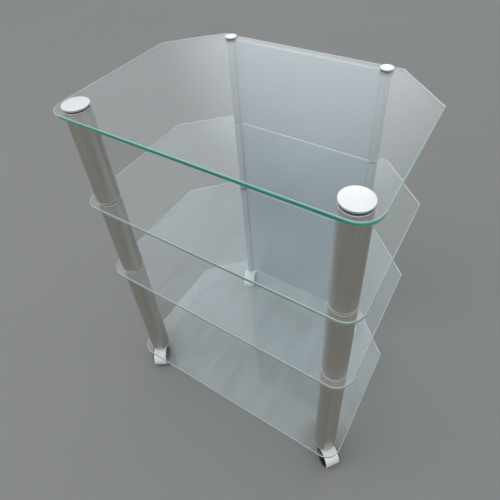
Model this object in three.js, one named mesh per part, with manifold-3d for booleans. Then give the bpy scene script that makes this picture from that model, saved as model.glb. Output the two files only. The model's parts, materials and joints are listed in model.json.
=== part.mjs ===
// Glass audio rack on castors. Four clear shelves are clamped between the tube lengths of two thick
// front columns and two slim rear posts. A tie rod in each column and post draws everything together
// between a screw cap on top and a castor's stem below. X runs along the front, Y to the back and Z
// up, in millimetres, and the origin is on the floor under the middle of the shelves.

import * as THREE from 'three';
import { mergeVertices } from 'three/addons/utils/BufferGeometryUtils.js';
import Module from 'manifold-3d';

const wasm = await Module();
wasm.setup();

// Shelves
const SHELF_WIDTH = 610;
const SHELF_DEPTH = 422;
const GLASS_THICKNESS = 8;
const FRONT_CORNER_RADIUS = 38;
const REAR_CHAMFER = 100;
const STANDING_AREA_MARGIN = 10;

// Clear heights of the bays
const LOWER_BAY = 352;
const MIDDLE_BAY = 212;
const UPPER_BAY = 212;

// Front columns
const COLUMN_DIAMETER = 50;
const COLUMN_WALL = 1.8;
const COLUMN_SIDE_INSET = 40;
const COLUMN_FRONT_INSET = 38;

// Rear posts
const POST_DIAMETER = 20;
const POST_WALL = 1.5;
const POST_INBOARD = 28;
const POST_REAR_INSET = 16.5;

// Plugs in the feet of the front tubes
const PLUG_RIM = 1;
const PLUG_SPIGOT = 8;

// Tie rods
const ROD_DIAMETER = 8;
const SLEEVE_CLEARANCE = 1.5;
const SLEEVE_LENGTH = 26;
const SLEEVE_LIFT = 11;
const THREAD_ENGAGEMENT = 20;

// Screw caps and their gaskets
const COLUMN_CAP_OVERHANG = 0.5;
const COLUMN_CAP_HEIGHT = 4;
const POST_CAP_OVERHANG = 3;
const POST_CAP_HEIGHT = 3.2;
const CAP_BEVEL = 0.8;
const CAP_CROWN = 0.4;
const CAP_ROOF = 2;
const CAP_STUD_WALL = 1.7;
const CAP_STUD_SETBACK = 1;
const GASKET_THICKNESS = 0.9;
const GASKET_SETBACK = 0.8;

// Back panels, held by their edges in slots down the posts
const PANEL_THICKNESS = 3;
const PANEL_EDGE_INSIDE_TUBE = 1;
const PANEL_HEAD_GAP = 0.5;

// Castors
const WHEEL_DIAMETER = 45;
const WHEEL_WIDTH = 13.2;
const WHEEL_EDGE = 1.2;
const WHEEL_CROWN = 3.2;
const WHEEL_FACE_SHARE = 0.66;
const WHEEL_SHOULDER_SHARE = 0.35;
const WHEEL_HUB_COVER = 3.2;
const CASTOR_OFFSET = 21.5;
const AXLE_DIAMETER = 6;
const AXLE_BOSS_WALL = 2.7;
const HOOD_OVER_WHEEL = 1.4;
const HOOD_WALL = 1.6;
const HOOD_WIDTH = 35;
const HOOD_WEB = 5;
const HOOD_UNDER_FLANGE = 1;
const SOCKET_WALL = 3.2;
const SOCKET_FLOOR = 4;
const STEM_DIAMETER = 8;
const STEM_FLANGE_DIAMETER = 28;
const STEM_FLANGE_THICKNESS = 2.5;
const STEM_TIP = 1.5;
// The way each castor trails, and the stretch of its hood round the axle: angles in degrees, the first
// from +X towards +Y and the others upwards from straight ahead.
const CASTOR_AZIMUTHS = { front_left: 301.6, front_right: 322.4, rear_left: 289, rear_right: 297 };
const HOOD_FRONT_ANGLE = -35;
const HOOD_BACK_ANGLE = 158;

// Clearances
const SLIDING_GAP = 0.3;
const RUNNING_GAP = 0.8;
const HOLE_CLEARANCE = 0.5;
const CUT_OVERRUN = 2;

// Facets round a full turn
const COLUMN_FACETS = 32;
const POST_FACETS = 24;
const ROD_FACETS = 12;
const WHEEL_FACETS = 24;
const STEM_FACETS = 14;
const OUTLINE_STEPS = 5;
const HOOD_STEPS = 13;

const HOOD_RADIUS = WHEEL_DIAMETER / 2 + HOOD_OVER_WHEEL + HOOD_WALL;
const AXLE_DROP = HOOD_RADIUS + HOOD_UNDER_FLANGE + STEM_FLANGE_THICKNESS;
const STEM_DEPTH = AXLE_DROP + STEM_DIAMETER / 2;
const SOCKET_RADIUS = STEM_DIAMETER / 2 + SLIDING_GAP + SOCKET_WALL;
const WHEEL_INNER_FACE = SOCKET_RADIUS + RUNNING_GAP;
const WHEEL_OUTER_FACE = WHEEL_INNER_FACE + WHEEL_WIDTH;

const CASTOR_HEIGHT = AXLE_DROP + WHEEL_DIAMETER / 2;
const SHELF_LEVELS = {
  bottom: CASTOR_HEIGHT,
  lower: CASTOR_HEIGHT + GLASS_THICKNESS + LOWER_BAY,
  upper: CASTOR_HEIGHT + 2 * GLASS_THICKNESS + LOWER_BAY + MIDDLE_BAY,
  top: CASTOR_HEIGHT + 3 * GLASS_THICKNESS + LOWER_BAY + MIDDLE_BAY + UPPER_BAY,
};
const BAYS = [
  { name: 'lower', floor: SHELF_LEVELS.bottom + GLASS_THICKNESS, height: LOWER_BAY },
  { name: 'middle', floor: SHELF_LEVELS.lower + GLASS_THICKNESS, height: MIDDLE_BAY },
  { name: 'upper', floor: SHELF_LEVELS.upper + GLASS_THICKNESS, height: UPPER_BAY },
];
const TOP_SURFACE = SHELF_LEVELS.top + GLASS_THICKNESS;

const COLUMN_X = SHELF_WIDTH / 2 - COLUMN_SIDE_INSET;
const COLUMN_Y = COLUMN_FRONT_INSET - SHELF_DEPTH / 2;
const POST_X = SHELF_WIDTH / 2 - REAR_CHAMFER - POST_INBOARD;
const POST_Y = SHELF_DEPTH / 2 - POST_REAR_INSET;
const STUD_RADIUS = ROD_DIAMETER / 2 + SLIDING_GAP + CAP_STUD_WALL;
const GLASS_HOLE_RADIUS = STUD_RADIUS + HOLE_CLEARANCE;
const UPRIGHTS = [
  { name: 'front_left', front: true, x: -COLUMN_X, y: COLUMN_Y },
  { name: 'front_right', front: true, x: COLUMN_X, y: COLUMN_Y },
  { name: 'rear_left', front: false, x: -POST_X, y: POST_Y },
  { name: 'rear_right', front: false, x: POST_X, y: POST_Y },
];

const FINISHES = {
  glass: { color: 0xc4dcd3, roughness: 0.05, metalness: 0, transparent: true, opacity: 0.35 },
  tube: { color: 0xa9a8a2, roughness: 0.35, metalness: 0.9 },
  cap: { color: 0xe6e6e4, roughness: 0.2, metalness: 0.9 },
  panel: { color: 0xb4bfc4, roughness: 0.45, metalness: 0.2 },
  zinc: { color: 0xb9bcbd, roughness: 0.4, metalness: 0.8 },
  hood: { color: 0xe2e2e2, roughness: 0.25, metalness: 0.8 },
  plug: { color: 0x9b9b97, roughness: 0.5, metalness: 0 },
  gasket: { color: 0x1d1f20, roughness: 0.7, metalness: 0 },
  wheel: { color: 0x141414, roughness: 0.5, metalness: 0 },
};

// Geometry helpers

// A profile of [radius, height] pairs turned about the vertical axis, listed with the solid on its left.
function turned(profile, facets) {
  return spun(profile, facets).rotateX(Math.PI / 2);
}

// The same about the Y axis.
function spun(profile, facets) {
  const points = profile.map(([radius, height]) => new THREE.Vector2(radius, height));
  return new THREE.LatheGeometry(points, facets);
}

// An upright ring or tube from one height to another.
function ring(outerRadius, innerRadius, low, high, facets) {
  const outline = [[innerRadius, low], [outerRadius, low], [outerRadius, high], [innerRadius, high]];
  return turned([...outline, outline[0]], facets);
}

// An upright round bar.
function bar(radius, low, high, facets) {
  return turned([[0, low], [radius, low], [radius, high], [0, high]], facets);
}

// A flat outline in the XZ plane given thickness along Y, centred on the plane.
function slab(shape, thickness) {
  const geometry = new THREE.ExtrudeGeometry(shape, { depth: thickness, bevelEnabled: false });
  return geometry.rotateX(Math.PI / 2).translate(0, thickness / 2, 0);
}

// A closed geometry as a solid that can be joined and cut.
function solid(geometry) {
  const bare = geometry.clone();
  bare.deleteAttribute('normal');
  bare.deleteAttribute('uv');
  const merged = mergeVertices(bare);
  const corners = merged.index.array;
  const kept = [];
  for (let i = 0; i < corners.length; i += 3) {
    const [a, b, c] = corners.slice(i, i + 3);
    if (a !== b && b !== c && c !== a) kept.push(a, b, c);
  }
  return new wasm.Manifold(new wasm.Mesh({
    numProp: 3,
    vertProperties: merged.attributes.position.array,
    triVerts: new Uint32Array(kept),
  }));
}

function geometryOf(body) {
  const mesh = body.getMesh();
  const geometry = new THREE.BufferGeometry();
  geometry.setAttribute('position', new THREE.BufferAttribute(mesh.vertProperties, 3));
  geometry.setIndex(new THREE.BufferAttribute(mesh.triVerts, 1));
  return geometry;
}

function add(parent, name, geometry, finish) {
  const mesh = new THREE.Mesh(geometry, new THREE.MeshStandardMaterial(FINISHES[finish]));
  mesh.name = name;
  parent.add(mesh);
  return mesh;
}

// Pieces

function pane(shape) {
  return solid(new THREE.ExtrudeGeometry(shape, {
    depth: GLASS_THICKNESS,
    bevelEnabled: false,
    curveSegments: OUTLINE_STEPS,
  }));
}

// The rectangle between the uprights where equipment stands.
function standingArea() {
  const right = COLUMN_X - COLUMN_DIAMETER / 2 - STANDING_AREA_MARGIN;
  const front = STANDING_AREA_MARGIN - SHELF_DEPTH / 2;
  const back = POST_Y - POST_DIAMETER / 2 - STANDING_AREA_MARGIN;
  return new THREE.Shape([[-right, front], [right, front], [right, back], [-right, back]]
    .map(([x, y]) => new THREE.Vector2(x, y)));
}

// A shelf is its standing area joined to the border that the uprights pass through, so that no facet
// of the standing area reaches under an upright.
function shelf() {
  const right = SHELF_WIDTH / 2;
  const back = SHELF_DEPTH / 2;
  const outline = new THREE.Shape();
  outline.moveTo(FRONT_CORNER_RADIUS - right, -back);
  outline.absarc(
    right - FRONT_CORNER_RADIUS, FRONT_CORNER_RADIUS - back, FRONT_CORNER_RADIUS, -Math.PI / 2, 0,
  );
  outline.lineTo(right, back - REAR_CHAMFER);
  outline.lineTo(right - REAR_CHAMFER, back);
  outline.lineTo(REAR_CHAMFER - right, back);
  outline.lineTo(-right, back - REAR_CHAMFER);
  outline.absarc(
    FRONT_CORNER_RADIUS - right, FRONT_CORNER_RADIUS - back, FRONT_CORNER_RADIUS,
    Math.PI, Math.PI * 1.5,
  );
  for (const { x, y } of UPRIGHTS) {
    const hole = new THREE.Path();
    hole.absarc(x, y, GLASS_HOLE_RADIUS, 0, 2 * Math.PI, true);
    outline.holes.push(hole);
  }
  outline.holes.push(standingArea());
  return geometryOf(pane(outline).add(pane(standingArea())));
}

// The plug's rim carries the tube, and its spigot centres the tube round the tie rod.
function plug() {
  const rim = COLUMN_DIAMETER / 2;
  const spigot = rim - COLUMN_WALL - SLIDING_GAP;
  const bore = ROD_DIAMETER / 2 + SLIDING_GAP;
  const top = PLUG_RIM + PLUG_SPIGOT;
  const outline = [[bore, 0], [rim, 0], [rim, PLUG_RIM], [spigot, PLUG_RIM], [spigot, top], [bore, top]];
  return turned([...outline, outline[0]], COLUMN_FACETS);
}

function columnTube(height) {
  const radius = COLUMN_DIAMETER / 2;
  return ring(radius, radius - COLUMN_WALL, PLUG_RIM, height, COLUMN_FACETS);
}

// A post's tube, with the slot for the panel's edge on the side given by toward: 1 for +X, -1 for -X.
function postTube(height, toward) {
  const radius = POST_DIAMETER / 2;
  const tube = solid(ring(radius, radius - POST_WALL, 0, height, POST_FACETS));
  const slot = new THREE.BoxGeometry(
    radius + CUT_OVERRUN, PANEL_THICKNESS + 2 * SLIDING_GAP, height + 2 * CUT_OVERRUN,
  );
  slot.translate(toward * (radius + CUT_OVERRUN) / 2, 0, height / 2);
  return geometryOf(tube.subtract(solid(slot)));
}

function panel(height) {
  const reach = POST_X - POST_DIAMETER / 2 + POST_WALL + PANEL_EDGE_INSIDE_TUBE;
  const tall = height - PANEL_HEAD_GAP;
  return new THREE.BoxGeometry(2 * reach, PANEL_THICKNESS, tall).translate(0, 0, tall / 2);
}

// A screw cap above the glass, with its hollow stud reaching down through the gasket into the glass.
function cap(radius, height, facets) {
  const bore = ROD_DIAMETER / 2 + SLIDING_GAP;
  const low = GASKET_THICKNESS;
  const high = low + height;
  const foot = CAP_STUD_SETBACK - GLASS_THICKNESS;
  return turned([
    [0, high - CAP_ROOF],
    [bore, high - CAP_ROOF],
    [bore, foot],
    [STUD_RADIUS, foot],
    [STUD_RADIUS, low],
    [radius, low],
    [radius, high - CAP_CROWN - CAP_BEVEL],
    [radius - CAP_BEVEL, high - CAP_CROWN],
    [0, high],
  ], facets);
}

function gasket(capRadius, facets) {
  return ring(capRadius - GASKET_SETBACK, GLASS_HOLE_RADIUS, 0, GASKET_THICKNESS, facets);
}

// The rod, with the tapped sleeve at its foot. Heights are above the underside of the bottom shelf.
function tieRod(capHeight) {
  const rod = ROD_DIAMETER / 2;
  const sleeve = POST_DIAMETER / 2 - POST_WALL - SLEEVE_CLEARANCE;
  const tapped = STEM_DIAMETER / 2 + SLIDING_GAP;
  const foot = GLASS_THICKNESS + SLEEVE_LIFT;
  const capSocketTop = GASKET_THICKNESS + capHeight - CAP_ROOF;
  const head = TOP_SURFACE - CASTOR_HEIGHT + capSocketTop - SLIDING_GAP;
  return turned([
    [0, foot + THREAD_ENGAGEMENT + SLIDING_GAP],
    [tapped, foot + THREAD_ENGAGEMENT + SLIDING_GAP],
    [tapped, foot],
    [sleeve, foot],
    [sleeve, foot + SLEEVE_LENGTH],
    [rod, foot + SLEEVE_LENGTH],
    [rod, head],
    [0, head],
  ], ROD_FACETS);
}

// Castor pieces. Their origin is on the swivel axis, level with the underside of the bottom shelf, and
// the wheels trail towards +X.

function castorStem() {
  const pin = STEM_DIAMETER / 2;
  const flange = STEM_FLANGE_DIAMETER / 2;
  const top = GLASS_THICKNESS + SLEEVE_LIFT + THREAD_ENGAGEMENT;
  return turned([
    [0, -STEM_DEPTH],
    [pin - STEM_TIP, -STEM_DEPTH],
    [pin, STEM_TIP - STEM_DEPTH],
    [pin, -STEM_FLANGE_THICKNESS],
    [flange, -STEM_FLANGE_THICKNESS],
    [flange, 0],
    [pin, 0],
    [pin, top - STEM_TIP],
    [pin - STEM_TIP, top],
    [0, top],
  ], STEM_FACETS);
}

// The part of a disc or ring about the axle that the hood covers.
function hoodSector(outer, inner) {
  const front = THREE.MathUtils.degToRad(HOOD_FRONT_ANGLE);
  const back = THREE.MathUtils.degToRad(HOOD_BACK_ANGLE);
  const shape = new THREE.Shape();
  for (let i = 0; i <= HOOD_STEPS; i += 1) {
    const angle = front + (back - front) * i / HOOD_STEPS;
    const [x, z] = [outer * Math.cos(angle), outer * Math.sin(angle)];
    if (i === 0) shape.moveTo(x, z);
    else shape.lineTo(x, z);
  }
  if (inner === 0) shape.lineTo(0, 0);
  else {
    for (let i = HOOD_STEPS; i >= 0; i -= 1) {
      const angle = front + (back - front) * i / HOOD_STEPS;
      shape.lineTo(inner * Math.cos(angle), inner * Math.sin(angle));
    }
  }
  return shape;
}

function aboutAxle(geometry) {
  return geometry.translate(CASTOR_OFFSET, 0, -AXLE_DROP);
}

function castorHood() {
  const bossRadius = AXLE_DIAMETER / 2 + SLIDING_GAP + AXLE_BOSS_WALL;
  const underFlange = -STEM_FLANGE_THICKNESS - SLIDING_GAP;
  const boreFloor = -STEM_DEPTH - SLIDING_GAP;
  const band = aboutAxle(slab(hoodSector(HOOD_RADIUS, HOOD_RADIUS - HOOD_WALL), HOOD_WIDTH));
  const web = aboutAxle(slab(hoodSector(HOOD_RADIUS - HOOD_WALL / 2, 0), HOOD_WEB));
  const socket = bar(SOCKET_RADIUS, boreFloor - SOCKET_FLOOR, underFlange, STEM_FACETS);
  const axleBoss = aboutAxle(
    new THREE.CylinderGeometry(bossRadius, bossRadius, 2 * SOCKET_RADIUS, STEM_FACETS),
  );
  const stemBore = bar(STEM_DIAMETER / 2 + SLIDING_GAP, boreFloor, CUT_OVERRUN, STEM_FACETS);
  const axleRadius = AXLE_DIAMETER / 2 + SLIDING_GAP;
  const axleBore = aboutAxle(
    new THREE.CylinderGeometry(axleRadius, axleRadius, HOOD_WIDTH, ROD_FACETS),
  );
  const joined = solid(band).add(solid(web)).add(solid(socket)).add(solid(axleBoss));
  return geometryOf(joined.subtract(solid(stemBore)).subtract(solid(axleBore)));
}

// A wheel on the +Y side: tread, crowned rim and a closed outer face over the axle's end.
function castorWheel() {
  const tread = WHEEL_DIAMETER / 2;
  const shoulder = WHEEL_CROWN * WHEEL_SHOULDER_SHARE;
  const bore = AXLE_DIAMETER / 2 + SLIDING_GAP;
  const boreEnd = WHEEL_OUTER_FACE - WHEEL_HUB_COVER;
  return spun([
    [0, boreEnd],
    [bore, boreEnd],
    [bore, WHEEL_INNER_FACE],
    [tread - WHEEL_EDGE, WHEEL_INNER_FACE],
    [tread, WHEEL_INNER_FACE + WHEEL_EDGE],
    [tread, WHEEL_OUTER_FACE - WHEEL_CROWN],
    [tread - shoulder, WHEEL_OUTER_FACE - shoulder],
    [tread * WHEEL_FACE_SHARE, WHEEL_OUTER_FACE],
    [0, WHEEL_OUTER_FACE],
  ], WHEEL_FACETS);
}

function castorAxle() {
  const length = 2 * (WHEEL_OUTER_FACE - WHEEL_HUB_COVER - SLIDING_GAP);
  return new THREE.CylinderGeometry(AXLE_DIAMETER / 2, AXLE_DIAMETER / 2, length, ROD_FACETS);
}

// Assembly

const rack = new THREE.Group();

for (const [level, height] of Object.entries(SHELF_LEVELS)) {
  add(rack, `${level}_shelf`, shelf(), 'glass').position.z = height;
}

for (const { name: bay, floor, height } of BAYS) {
  for (const { name, front, x, y } of UPRIGHTS) {
    const geometry = front ? columnTube(height) : postTube(height, -Math.sign(x));
    add(rack, `${name}_${bay}_tube`, geometry, 'tube').position.set(x, y, floor);
    if (front) add(rack, `${name}_${bay}_tube_plug`, plug(), 'plug').position.set(x, y, floor);
  }
  add(rack, `${bay}_back_panel`, panel(height), 'panel').position.set(0, POST_Y, floor);
}

for (const { name, front, x, y } of UPRIGHTS) {
  const radius = front ? COLUMN_DIAMETER / 2 + COLUMN_CAP_OVERHANG : POST_DIAMETER / 2 + POST_CAP_OVERHANG;
  const height = front ? COLUMN_CAP_HEIGHT : POST_CAP_HEIGHT;
  const facets = front ? COLUMN_FACETS : POST_FACETS;
  add(rack, `${name}_cap`, cap(radius, height, facets), 'cap').position.set(x, y, TOP_SURFACE);
  add(rack, `${name}_cap_gasket`, gasket(radius, facets), 'gasket').position.set(x, y, TOP_SURFACE);
  add(rack, `${name}_tie_rod`, tieRod(height), 'zinc').position.set(x, y, CASTOR_HEIGHT);

  const castor = new THREE.Group();
  castor.position.set(x, y, CASTOR_HEIGHT);
  castor.rotation.z = THREE.MathUtils.degToRad(CASTOR_AZIMUTHS[name]);
  rack.add(castor);
  add(castor, `${name}_castor_stem`, castorStem(), 'zinc');
  add(castor, `${name}_castor_hood`, castorHood(), 'hood');
  add(castor, `${name}_castor_axle`, castorAxle(), 'zinc').position.set(CASTOR_OFFSET, 0, -AXLE_DROP);
  for (const side of ['left', 'right']) {
    const wheel = add(castor, `${name}_castor_${side}_wheel`, castorWheel(), 'wheel');
    wheel.position.set(CASTOR_OFFSET, 0, -AXLE_DROP);
    if (side === 'right') wheel.rotation.z = Math.PI;
  }
}

export default rack;
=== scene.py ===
# Glass audio rack on castors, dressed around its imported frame. Four clear shelves are clamped between
# brushed tubes by rods with bright screw caps, satin panels close the back, and twin-wheel castors
# swivel under the corners. Lengths are in metres and angles in degrees, apart from the camera's lens
# and sensor in millimetres and its roll in radians.

import json
import math

import bmesh
import bpy
from bpy.props import FloatProperty, FloatVectorProperty, IntProperty, PointerProperty
from mathutils import Matrix, Vector


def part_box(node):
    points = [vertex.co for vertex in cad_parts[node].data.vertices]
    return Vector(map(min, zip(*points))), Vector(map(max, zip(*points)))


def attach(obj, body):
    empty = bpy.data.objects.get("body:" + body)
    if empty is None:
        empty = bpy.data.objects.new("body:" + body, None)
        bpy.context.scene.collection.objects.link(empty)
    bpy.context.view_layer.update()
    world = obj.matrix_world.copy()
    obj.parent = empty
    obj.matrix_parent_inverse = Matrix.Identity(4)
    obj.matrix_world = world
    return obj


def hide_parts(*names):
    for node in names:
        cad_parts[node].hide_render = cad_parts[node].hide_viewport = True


bl_info = {
    "name": "Glass Audio Rack",
    "version": (1, 0, 0),
    "blender": (4, 5, 0),
    "location": "3D View > Sidebar > Audio Rack",
    "description": "Models the pieces of a glass audio rack and the stage it stands on",
    "category": "Add Mesh",
}

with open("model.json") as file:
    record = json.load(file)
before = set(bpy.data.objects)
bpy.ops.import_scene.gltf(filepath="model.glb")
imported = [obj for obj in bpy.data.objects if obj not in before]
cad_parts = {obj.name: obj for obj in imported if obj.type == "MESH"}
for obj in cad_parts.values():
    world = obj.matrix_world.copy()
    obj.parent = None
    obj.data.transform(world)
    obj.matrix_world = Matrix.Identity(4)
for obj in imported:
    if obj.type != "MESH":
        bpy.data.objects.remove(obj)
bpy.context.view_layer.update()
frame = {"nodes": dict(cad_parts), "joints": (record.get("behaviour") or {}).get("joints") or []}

SHELVES = ("bottom", "lower", "upper", "top")
BAYS = ("lower", "middle", "upper")
FRONT = ("front_left", "front_right")
REAR = ("rear_left", "rear_right")
UPRIGHTS = FRONT + REAR
SIDES = ("left", "right")
RACK = "rack"

# Sizes that all four castors share are taken from the one at HOME.
HOME = "front_left"

# TINY stands for zero, a pole is a ring of radius POLE until it is welded, and points closer than
# WELD are one. SEAT is left between the glass and what rests on it, so that no two faces coincide.
# DIGITS is how many decimals of a metre tell two places of the frame apart.
TINY = 1e-6
POLE = 2e-6
WELD = 1e-5
SEAT = 5e-5
DIGITS = 5
MADE_AT = "made_at"

# Edges up to SMOOTH_ANGLE are shaded smoothly. A softened piece has its edges from SHARP_ANGLE rounded.
SMOOTH_ANGLE = 32.0
SHARP_ANGLE = 40.0


# Sizes taken from the frame


def middle(node):
    low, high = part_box(node)
    return (low + high) / 2


def heights(node):
    low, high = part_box(node)
    return low.z, high.z


def corners_of(node):
    return [v.co for v in frame["nodes"][node].data.vertices]


def off_axis(co, axis):
    return math.hypot(co.x - axis.x, co.y - axis.y)


def radii(node, axis):
    """The least and the greatest distance of a node's corners from an upright axis."""
    reach = [off_axis(co, axis) for co in corners_of(node)]
    return min(reach), max(reach)


def joint_place(name):
    joint = next(j for j in frame["joints"] if j["name"] == name)
    return Vector(joint["pos_m"])


AXES = {name: middle(f"{name}_cap") for name in UPRIGHTS}

SHELF_LOW, SHELF_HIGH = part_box("top_shelf")
SHELF_WIDTH = SHELF_HIGH.x - SHELF_LOW.x
SHELF_DEPTH = SHELF_HIGH.y - SHELF_LOW.y
GLASS_THICKNESS = SHELF_HIGH.z - SHELF_LOW.z
SIDE_CORNERS = [co.y for co in corners_of("top_shelf") if SHELF_HIGH.x - co.x < WELD]
CORNER_RADIUS = min(SIDE_CORNERS) - SHELF_LOW.y
REAR_CHAMFER = SHELF_HIGH.y - max(SIDE_CORNERS)
HOLE_RADIUS = radii("top_shelf", AXES["front_left"])[0]

COLUMN_BORE, COLUMN_RADIUS = radii("front_left_lower_tube", AXES["front_left"])
POST_BORE, POST_RADIUS = radii("rear_left_lower_tube", AXES["rear_left"])
PLUG_BORE = radii("front_left_lower_tube_plug", AXES["front_left"])[0]
PLUG_FOOT, PLUG_TOP = heights("front_left_lower_tube_plug")
PLUG_RIM = heights("front_left_lower_tube")[0] - PLUG_FOOT
PLUG_HEIGHT = PLUG_TOP - PLUG_FOOT
PANEL_LOW, PANEL_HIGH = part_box("lower_back_panel")
PANEL_THICKNESS = PANEL_HIGH.y - PANEL_LOW.y

UNDERSIDE = heights("bottom_shelf")[0]
STEM_RINGS = {
    round(off_axis(co, AXES[HOME]), DIGITS)
    for co in corners_of(f"{HOME}_castor_stem") if abs(co.z - UNDERSIDE) < WELD
}
STEM_RADIUS, STEM_FLANGE_RADIUS = min(STEM_RINGS), max(STEM_RINGS)
AXLE_PLACE = {name: joint_place(f"{name}_castor_left_wheel_roll") for name in UPRIGHTS}
SWIVEL_PLACE = {name: joint_place(f"{name}_castor_swivel") for name in UPRIGHTS}
AXLE_OFFSET = (AXLE_PLACE[HOME] - SWIVEL_PLACE[HOME]).to_2d().length
AXLE_DROP = UNDERSIDE - AXLE_PLACE[HOME].z
WHEEL_RADIUS = AXLE_PLACE[HOME].z


# Settings


def setting(kind, **traits):
    """A maker of settings of one kind, each from its name, its description and its default."""

    def made(name, description, default, **more):
        return kind(name=name, description=description, default=default, **{**traits, **more})

    return made


length = setting(FloatProperty, min=0, precision=5, subtype="DISTANCE", unit="LENGTH")
colour = setting(FloatVectorProperty, min=0, max=1, subtype="COLOR")
share = setting(FloatProperty, min=0, max=1, subtype="FACTOR")
strength = setting(FloatProperty, min=0, soft_max=2)
number = setting(FloatProperty, precision=4)
measure = setting(FloatProperty)
count = setting(IntProperty, min=8)


class GlassSettings(bpy.types.PropertyGroup):
    arris: length("Arris", "Leg of the ground bevel along each edge", 0.0009)
    corner_steps: count("Corner steps", "Flats round each front corner", 20, min=3)
    tint: colour("Tint", "Colour of light that has crossed one face", (0.982, 0.995, 0.991))
    depth_colour: colour("Edge colour", "Colour seen along the glass", (0.014, 0.26, 0.19))
    corner_colour: colour("Corner colour", "Colour seen through a corner", (0.10, 0.42, 0.30))
    # The colours from here to the rim colour are painted light: light seen across the glass, a highlight
    # on the upper bevels and edge tops, reflections at a glance and along an edge, and light in the bevels
    # from within.
    through_light_colour: colour("Shallow colour", "Colour seen across the glass", (0.40, 0.43, 0.40))
    lit_arris_colour: colour("Arris colour", "Colour of the ground bevels", (0.40, 0.76, 0.68))
    glance_reflection_colour: colour("Glance colour", "Colour of the bevels at a glance", (0.70, 0.72, 0.65))
    grazed_reflection_colour: colour("Grazed colour", "Colour of an edge seen along it", (0.66, 0.80, 0.71))
    rim_light_colour: colour("Rim colour", "Colour of the bevels seen from within", (0.86, 0.88, 0.85))
    # The film's colour is that of dust and of a painted sheen of sky light.
    dust_and_sheen_colour: colour("Film colour", "Colour of the dust on the glass", (0.66, 0.75, 0.82))
    film: share("Film", "How much of the glass the dust hides", 0.05)


class TubeSettings(bpy.types.PropertyGroup):
    facets: count("Facets", "Flats round a tube", 128)
    end_bevel: length("End bevel", "Broken edge at the ends of a tube", 0.0008)
    end_lip: length("End lip", "How far a column's wall turns in at its top end", 0.0022)
    slot_gap: length("Slot gap", "Room beside a panel in a post's slot", 0.0003)
    metal: colour("Metal", "Colour of the brushed columns", (0.61, 0.57, 0.515))
    # The columns' upward top bevels take this paler, less metallic colour as a painted highlight.
    top_bevel_highlight: colour("End metal", "Colour of the columns' cut ends", (0.86, 0.85, 0.83))
    # The posts' bluish cast is a painted reflection of the sky.
    post_metal: colour("Post metal", "Colour of the brushed posts", (0.56, 0.60, 0.62))


class CapSettings(bpy.types.PropertyGroup):
    bevel: length("Bevel", "Rounding of the rim", 0.0006)
    metal: colour("Metal", "Colour of the bright caps", (0.965, 0.95, 0.945))
    # The caps' sides take this darker copy of the caps' metal as painted shade beside their bright tops.
    shaded_flank: colour("Flank", "Colour of the caps' sides", (0.80, 0.79, 0.81))
    rubber: colour("Rubber", "Colour of the gaskets", (0.21, 0.21, 0.22))


class PanelSettings(bpy.types.PropertyGroup):
    edge_bevel: length("Edge bevel", "Rounding of the panels' edges", 0.0004)
    paint: colour("Paint", "Colour of the satin panels", (0.415, 0.485, 0.525))


class CastorSettings(bpy.types.PropertyGroup):
    stem_flange: length("Stem flange", "Thickness of the stem's flange", 0.0025)
    hood_wall: length("Hood wall", "Thickness of the hood's band", 0.0016)
    metal: colour("Metal", "Colour of the hoods", (0.95, 0.95, 0.95))
    tyre: colour("Wheel", "Colour of the wheels", (0.006, 0.006, 0.007))


class StageSettings(bpy.types.PropertyGroup):
    lens: measure("Lens", "Focal length", 32.385, unit="CAMERA")
    floor: colour("Floor", "Colour of the floor", (0.257, 0.254, 0.246))
    sky: colour("Sky", "Colour of the light all round", (0.915, 0.967, 1.0))
    overhead: strength("Overhead", "Strength of the light from straight above", 1.05)
    horizon: strength("Horizon", "Strength of the light from the sides", 0.62)
    glow: strength("Glow", "Added light from behind, seen in mirrors alone", 1.1)
    lamp_power: measure("Lamp", "Power of the lamp", 25, unit="POWER")
    lamp_colour: colour("Lamp colour", "Colour of the lamp", (1.0, 0.985, 0.96))


SETTINGS = {
    "rack_glass": GlassSettings,
    "rack_tubes": TubeSettings,
    "rack_caps": CapSettings,
    "rack_panels": PanelSettings,
    "rack_castors": CastorSettings,
    "rack_stage": StageSettings,
}


# Materials


def feed(tree, socket, value):
    """Links another node's output to a socket, or sets a number, a vector or an opaque colour."""
    if isinstance(value, bpy.types.NodeSocket):
        tree.links.new(value, socket)
    else:
        socket.default_value = (*value, 1.0) if socket.type == "RGBA" else value


def add_node(tree, kind, inputs=None, **settings):
    node = tree.nodes.new(kind)
    for name, value in settings.items():
        setattr(node, name, value)
    for key, value in (inputs or {}).items():
        feed(tree, node.inputs[key], value)
    return node


def new_material(name):
    material = bpy.data.materials.new(name)
    material.use_nodes = True
    material.node_tree.nodes.clear()
    return material, material.node_tree


def finished(material, shader):
    add_node(material.node_tree, "ShaderNodeOutputMaterial", {"Surface": shader})
    return material


def object_place(tree, scale=(1, 1, 1)):
    where = add_node(tree, "ShaderNodeTexCoord").outputs["Object"]
    return add_node(tree, "ShaderNodeMapping", {"Vector": where, "Scale": scale}).outputs[0]


def piece_place(tree):
    """Where a point was on the piece as it was modelled, before it was put in its place."""
    return add_node(tree, "ShaderNodeAttribute", attribute_name=MADE_AT).outputs["Vector"]


def noise(tree, place, scale, detail=3.0, roughness=0.55):
    made = add_node(tree, "ShaderNodeTexNoise", {
        "Vector": place, "Scale": scale, "Detail": detail, "Roughness": roughness,
    })
    return made.outputs["Fac"]


def spread(tree, value, low, high, to_low=0, to_high=1, easing="LINEAR"):
    made = add_node(tree, "ShaderNodeMapRange", {
        "Value": value, "From Min": low, "From Max": high, "To Min": to_low, "To Max": to_high,
    }, interpolation_type=easing)
    return made.outputs["Result"]


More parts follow.
